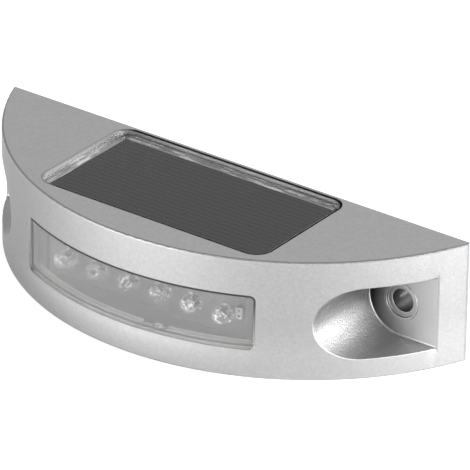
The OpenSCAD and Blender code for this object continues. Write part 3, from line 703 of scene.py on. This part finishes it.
def onPocketLip(place):
    # the upright edge where the pocket's floor runs out through the front
    return onPocketFloor(place) and abs(abs(place.x) - pocket["lip"]) < near["lip"]


def onScrewRing(place):
    deep = place.y - pocket["floor"]
    return fromHole(place) < pocket["ring"] and -pocket["raised"] < deep < pocket["sunk"] + near["wall"]


def inPocket(place):
    # inside the pocket's round end, or between its flat upper and lower walls
    fromEnd = math.hypot(min(abs(place.x) - pocket["x"], 0), place.z)
    return fromEnd < pocket["radius"] + near["wall"] and abs(place.x) < pocket["lip"]


def castAt(face):
    # the finish of one face of the housing
    middle, normal = face.calc_center_median(), face.normal
    sideways = abs(normal.y) < 0.3
    forward = normal.y < -0.95
    slanted = 0.1 < abs(normal.z) < 0.98
    if fromHole(middle) < pocket["hole"] and sideways and middle.y > pocket["floor"]:
        return darkHole
    if forward and abs(middle.x) > front["pocketFrom"] and middle.y < pocket["floor"] + pocket["sunk"]:
        return pocketFloor
    if slanted and fromArc(middle) > -front["round"] and abs(middle.z - housingMid.z) > front["edge"]:
        return upperRim if middle.z > 0 else lowerRim
    if insideOpening(middle) and middle.z > resinLo.z and normal.z < 0.99:
        if normal.z > 0.05:
            return openingRim
        return openingBack if normal.y < -0.7 else openingWall
    if inPocket(middle) and sideways and fromArc(middle) < -2 * near["wall"]:
        return pocketCast
    return shellCast


# the housing's softened edges: where they are, width in mm, and segments
housingEdges = {
    "window rim": (onWindowRim, 0.07, 2),
    "pocket rims": (onPocketRim, 0.25, 3),
    "ends": (onEnd, 0.6, 3),
    "panel rim": (onPanelRim, 0.4, 4),
    "pocket lips": (onPocketLip, 0.5, 3),
    "pocket feet": (onPocketFoot, 0.45, 3),
    "screw rings": (onScrewRing, 0.12, 2),
}
housing = mergedCopy("housing")
for name, (wanted, width, segments) in housingEdges.items():
    print(name + ":", softenEdges(housing, wanted, width * mm, segments))
shellFinishes = [shellCast, pocketCast, darkHole, pocketFloor, lowerRim, upperRim, openingRim, openingWall,
                 openingBack]
for face in housing.faces:
    face.material_index = shellFinishes.index(castAt(face))
finishMesh(housing, "housing_shell", shellFinishes, replaced=["housing"])

# softened all over, width in mm
for name, width in {"back_cover": 0.2, "switch_slider": 0.1, "led_connector": 0.15}.items():
    copy = mergedCopy(name)
    print(name + ":", softenEdges(copy, everywhere, width * mm, 2))
    body = "switch_knob" if name == "switch_slider" else "light"
    finishMesh(copy, name + "_soft", [finishes[slotOf[name]]], body=body, replaced=[name])


# window lens: its curved faces are clear as deep as the window goes, its rim, flange and sides are frosted
lensLook = {"soft": 0.08 * mm, "deep": 3.2 * mm, "facing": 0.9}

lens = mergedCopy("window_lens")
print("lens edges:", softenEdges(lens, everywhere, lensLook["soft"], 2))
for face in lens.faces:
    middle = face.calc_center_median()
    outward = Vector((middle.x, middle.y - arcY, 0)).normalized()
    clear = abs(face.normal.dot(outward)) > lensLook["facing"] and fromArc(middle) > -lensLook["deep"]
    face.material_index = 0 if clear else 1
lensFinishes = [finishes["clear_lens"], finishes["lens_rim_frosted"]]
finishMesh(lens, "window_lens_clear", lensFinishes, replaced=["window_lens"])


# the dark bead round the window, standing in for the shadow gap there: half its width and height, the bead's
# own width, how deep it and the lens lie under the casting's front, how it leans, how far its inner edge is
# moved down and to the left, and the share of its width at which its rounding starts
shadowBeadLook = {
    "width": 37.1 * mm,
    "height": 8 * mm,
    "corner": 1.5 * mm,
    "bead": 0.5 * mm,
    "sunk": 0.28 * mm,
    "lens": 0.62 * mm,
    "tiltUp": 0.18 * mm,
    "tiltAcross": -0.1 * mm,
    "drop": 0.38 * mm,
    "aside": 0.33 * mm,
    "crown": 0.75,
    "round": 0.07 * mm,
    "cornerSteps": 6,
    "longSteps": 40,
}


def windowOutline(look, inset):
    # a rounded rectangle, corner by corner
    half = Vector((look["width"] - inset, look["height"] - inset))
    corner = look["corner"] - inset
    points = []
    for quarter, side in enumerate(((1, 1), (-1, 1), (-1, -1), (1, -1))):
        for step in range(look["cornerSteps"] + 1):
            turn = math.radians(90 * quarter + 90 / look["cornerSteps"] * step)
            points.append(((half.x - corner) * side[0] + corner * math.cos(turn),
                           (half.y - corner) * side[1] + corner * math.sin(turn)))
    return points


def windowLoop(bm, look, share, radius):
    # the outline laid on the front's arc, as far in as this share of the bead
    drop, aside = look["drop"] * share, look["aside"] * share
    points = windowOutline(look, look["bead"] * share)
    loop = []
    for (x, z), (nextX, nextZ) in zip(points, points[1:] + points[:1]):
        pieces = look["longSteps"] if abs(nextX - x) > look["height"] else 1
        for piece in range(pieces):
            across = x + (nextX - x) * piece / pieces
            up = z + (nextZ - z) * piece / pieces
            place = across - aside
            depth = math.sqrt(radius(across, up) ** 2 - place ** 2)
            loop.append(bm.verts.new((place, arcY - depth, up - drop)))
    return [bm.edges.new(pair) for pair in zip(loop, loop[1:] + loop[:1])]


def beadOuter(across, up):
    lean = shadowBeadLook["tiltUp"] * up / shadowBeadLook["height"] + shadowBeadLook["tiltAcross"] * across / shadowBeadLook["width"]
    return arcRadius - shadowBeadLook["sunk"] + lean


def beadCrown(across, up):
    return beadOuter(across, up) - shadowBeadLook["round"]


def beadInner(across, up):
    return arcRadius - shadowBeadLook["lens"]


# the dark bead is painted shade in the gap round the window
shadowBead = bmesh.new()
section = ((0, beadInner), (0, beadOuter), (shadowBeadLook["crown"], beadCrown), (1, beadInner))
loops = [windowLoop(shadowBead, shadowBeadLook, share, radius) for share, radius in section]
for first, second in zip(loops, loops[1:] + loops[:1]):
    bmesh.ops.bridge_loops(shadowBead, edges=first + second)
bmesh.ops.recalc_face_normals(shadowBead, faces=shadowBead.faces)
finishMesh(shadowBead, "window_shadow_bead", [shadowBeadFinish(shadowBeadTones)])


# panel resin: one clear slab that takes the cell in. It creeps up the casting's wall: the creep's points are
# the distance from the wall and the height there
resinLook = {
    "corner": 4.3 * mm,
    "cornerSteps": 8,
    "below": 0.05 * mm,
    "creep": [(0, 0.45 * mm), (0.12 * mm, 0.26 * mm), (0.3 * mm, 0.12 * mm), (0.55 * mm, 0.04 * mm),
              (0.8 * mm, 0.02 * mm), (1 * mm, 0.1 * mm), (1.2 * mm, 0.13 * mm), (1.4 * mm, 0.09 * mm),
              (1.65 * mm, 0)],
}


def addBox(bm, middle, size):
    made = bmesh.ops.create_cube(bm, size=1)
    bmesh.ops.scale(bm, vec=size, verts=made["verts"])
    bmesh.ops.translate(bm, vec=middle, verts=made["verts"])


def roundedSlab(lo, hi, corner, steps):
    bm = bmesh.new()
    addBox(bm, (lo + hi) / 2, hi - lo)
    upright = [edge for edge in bm.edges if abs(edge.verts[0].co.z - edge.verts[1].co.z) > 0.001 * mm]
    bmesh.ops.bevel(bm, geom=upright, offset=corner, offset_type="OFFSET", affect="EDGES", segments=steps,
                    profile=0.5, material=-1)
    return bm


resinBottom = Vector((resinLo.x, resinLo.y, resinLo.z - resinLook["below"]))
resin = roundedSlab(resinBottom, resinHi, resinLook["corner"], resinLook["cornerSteps"])
top = max(resin.faces, key=lambda face: face.calc_center_median().z)
bmesh.ops.translate(resin, vec=(0, 0, resinLook["creep"][0][1]), verts=top.verts)
for (near, _), (far, height) in zip(resinLook["creep"], resinLook["creep"][1:]):
    bmesh.ops.inset_region(resin, faces=[top], thickness=far - near, use_even_offset=True)
    for vert in top.verts:
        vert.co.z = resinHi.z + height
finishMesh(resin, "panel_resin_slab", [finishes["clear_resin"]], replaced=["panel_resin"])


# lamps, standing on their board at height 0; the metal inside is a cup on its post, a slim post beside it, a
# foot and a bar at the first lead, and two leads that go through the board; the cup and the posts are in mm
lampLook = {
    "domeRadius": 2.4 * mm,
    "flangeRadius": 2.9 * mm,
    "flangeHeight": 0.9 * mm,
    "flangeEdge": 0.35 * mm,
    "height": 4.8 * mm,
    "into": 0.03 * mm,
    "steps": 40,
    "edgeSteps": 5,
    "domeSteps": 10,
    "cup": [(0, 1.4), (0.6, 1.4), (1.15, 2.2), (1.0, 2.25), (0.5, 1.6), (0, 1.6)],
    "cupX": -0.25 * mm,
    "cupSteps": 24,
    "posts": [((-0.25, 0, 0.75), (0.75, 0.45, 1.4)), ((1.25, 0, 1.15), (0.5, 0.45, 2.3)),
              ((-1.27, 0, 0.1), (0.5, 0.5, 1.0)), ((-0.7, 0, 0.45), (1.2, 0.45, 0.3))],
    "leadApart": 2.54 * mm,
    "leadRadius": 0.25 * mm,
    "leadLength": 2.4 * mm,
    "leadMiddle": -1.35 * mm,
    "leadSteps": 16,
}


def spunShape(profile, steps):
    # profile: points of radius and height, turned round +Z
    bm = bmesh.new()
    verts = [bm.verts.new((radius, 0, height)) for radius, height in profile]
    edges = [bm.edges.new(pair) for pair in zip(verts, verts[1:])]
    bmesh.ops.spin(bm, geom=verts + edges, cent=(0, 0, 0), axis=(0, 0, 1), angle=2 * math.pi, steps=steps,
                   use_merge=True)
    bmesh.ops.remove_doubles(bm, verts=bm.verts, dist=0.0001 * mm)
    bmesh.ops.recalc_face_normals(bm, faces=bm.faces)
    return bm


def quarterRound(x, z, radius, steps):
    # from beside the centre to above it
    turns = [math.radians(90 * step / steps) for step in range(steps + 1)]
    return [(x + radius * math.cos(turn), z + radius * math.sin(turn)) for turn in turns]


def lampDome(look):
    edge, wide, low = look["flangeEdge"], look["flangeRadius"], look["flangeHeight"]
    foot = [(0, -look["into"]), (wide, -look["into"])]
    foot += quarterRound(wide - edge, low - edge, edge, look["edgeSteps"])
    dome = quarterRound(0, look["height"] - look["domeRadius"], look["domeRadius"], look["domeSteps"])
    profile = foot + [(look["domeRadius"], low)] + dome[:-1] + [(0, look["height"])]
    return spunShape(profile, look["steps"])


def lampMetal(look):
    bm = spunShape([(radius * mm, height * mm) for radius, height in look["cup"]], look["cupSteps"])
    bmesh.ops.translate(bm, vec=(look["cupX"], 0, 0), verts=bm.verts)
    for middle, size in look["posts"]:
        addBox(bm, Vector(middle) * mm, Vector(size) * mm)
    for side in (-1, 1):
        lead = bmesh.ops.create_cone(bm, cap_ends=True, segments=look["leadSteps"], depth=look["leadLength"],
                                     radius1=look["leadRadius"], radius2=look["leadRadius"])
        middle = (side * look["leadApart"] / 2, 0, look["leadMiddle"])
        bmesh.ops.translate(bm, vec=middle, verts=lead["verts"])
    return bm


for number in range(1, 7):
    name = f"led_{number}"
    mid = corners(name)[2]
    seat = Matrix.Translation((mid.x, boardLo.y, mid.z)) @ Matrix.Rotation(math.radians(90), 4, "X")
    dome = lampDome(lampLook)
    bmesh.ops.transform(dome, matrix=seat, verts=dome.verts)
    finishMesh(dome, name + "_dome", [finishes["lamp_epoxy"]], replaced=[name])
    metal = lampMetal(lampLook)
    bmesh.ops.transform(metal, matrix=seat, verts=metal.verts)
    finishMesh(metal, name + "_metal", [finishes["lamp_silver"]])
print("lamps:", number)


# the floor's colour, how brightly the camera sees it glow, and the share of that which metal mirrors; the
# sky's light, and its level where it is seen or mirrored
floorLook = {"size": 6, "colour": 0.85, "shown": 0.65, "mirrored": 0.5}
skyLook = {"light": 0.35, "shown": 1.0}


def seenBy(tree):
    # 1 for what the camera sees, straight or through a clear piece; and 1 for what a shiny face mirrors
    rays = addNode(tree, "ShaderNodeLightPath").outputs
    direct = combined(tree, "MAXIMUM", rays["Is Camera Ray"], rays["Is Transmission Ray"])
    return direct, rays["Is Glossy Ray"]


floorMesh = bmesh.new()
bmesh.ops.create_grid(floorMesh, x_segments=1, y_segments=1, size=floorLook["size"] / 2)
bmesh.ops.translate(floorMesh, vec=(0, 0, housingLo.z), verts=floorMesh.verts)
mesh = bpy.data.meshes.new("floor")
floorMesh.to_mesh(mesh)
floorMesh.free()
floor = bpy.data.objects.new("floor", mesh)
bpy.context.scene.collection.objects.link(floor)

floorFinish = bpy.data.materials.new("floor_white")
floorFinish.use_nodes = True
tree = floorFinish.node_tree
tree.nodes.remove(tree.nodes["Principled BSDF"])
matt = addNode(tree, "ShaderNodeBsdfDiffuse")
matt.inputs["Color"].default_value = (*[floorLook["colour"]] * 3, 1)
glow = addNode(tree, "ShaderNodeEmission")
glow.inputs["Color"].default_value = (1, 1, 1, 1)
direct, gloss = seenBy(tree)
shown = combined(tree, "MAXIMUM", direct, combined(tree, "MULTIPLY", gloss, floorLook["mirrored"]))
feed(tree, combined(tree, "MULTIPLY", shown, floorLook["shown"]), glow, "Strength")
both = addNode(tree, "ShaderNodeAddShader")
tree.links.new(matt.outputs["BSDF"], both.inputs[0])
tree.links.new(glow.outputs["Emission"], both.inputs[1])
tree.links.new(both.outputs["Shader"], tree.nodes["Material Output"].inputs["Surface"])
mesh.materials.append(floorFinish)

world = bpy.data.worlds.new("studio")
bpy.context.scene.world = world
world.use_nodes = True
tree = world.node_tree
sky = tree.nodes["Background"]
sky.inputs["Color"].default_value = (1, 1, 1, 1)
direct, gloss = seenBy(tree)
shown = combined(tree, "MAXIMUM", direct, gloss)
feed(tree, mapped(tree, shown, 0, 1, skyLook["light"], skyLook["shown"]), sky, "Strength")

# azimuth and elevation of each lamp as seen from the object, its distance, width and height, and the level at
# which it lights a white surface that faces it
softboxes = {
    "front": (-21, 2.8, 0.8, 0.75, 0.07, 1.45),
    "fill": (42, 2.8, 0.8, 0.45, 0.07, 0.25),
    "right": (99, 2.8, 0.8, 0.92, 0.07, 2.08),
    "back": (160, 35, 1.0, 0.6, 0.4, 0.2),
    "glint": (-147, 40, 1.0, 0.15, 0.015, 0.008),
}
litPoint = Vector((0, -20, 0)) * mm


def direction(azimuth, elevation):
    a, e = math.radians(azimuth), math.radians(elevation)
    return Vector((math.sin(a) * math.cos(e), -math.cos(a) * math.cos(e), math.sin(e)))


for name, (azimuth, elevation, distance, width, height, brightness) in softboxes.items():
    lamp = bpy.data.lights.new(name, "AREA")
    lamp.shape = "RECTANGLE"
    lamp.size, lamp.size_y = width, height
    lamp.energy = brightness * math.pi ** 2 * distance ** 2
    box = bpy.data.objects.new(name, lamp)
    away = direction(azimuth, elevation)
    box.location = litPoint + away * distance
    box.rotation_mode = "QUATERNION"
    box.rotation_quaternion = away.to_track_quat("Z", "Y")
    bpy.context.scene.collection.objects.link(box)
print("lamps in the studio:", len(softboxes))

cameraLook = {
    "azimuth": 35.926, "elevation": 27.496, "roll": 0.857,
    "target": Vector((10.653, -15, 6.376)) * mm, "distance": 1541.7 * mm,
    "sensor": 36, "focal": 447.1, "clip": (0.05, 20),
}
towards = direction(cameraLook["azimuth"], cameraLook["elevation"])
roll = math.radians(cameraLook["roll"])
sideways = towards.cross(Vector((0, 0, -1))).normalized()
up = sideways.cross(-towards)
right = sideways * math.cos(roll) + up * math.sin(roll)
upright = up * math.cos(roll) - sideways * math.sin(roll)
camera = bpy.data.objects.new("camera", bpy.data.cameras.new("camera"))
camera.data.sensor_width = cameraLook["sensor"]
camera.data.lens = cameraLook["focal"]
camera.data.clip_start, camera.data.clip_end = cameraLook["clip"]
turned = Matrix((right, upright, towards)).transposed().to_4x4()
camera.matrix_world = Matrix.Translation(cameraLook["target"] + towards * cameraLook["distance"]) @ turned
bpy.context.scene.collection.objects.link(camera)
bpy.context.scene.camera = camera
bpy.context.scene.view_settings.view_transform = "Standard"
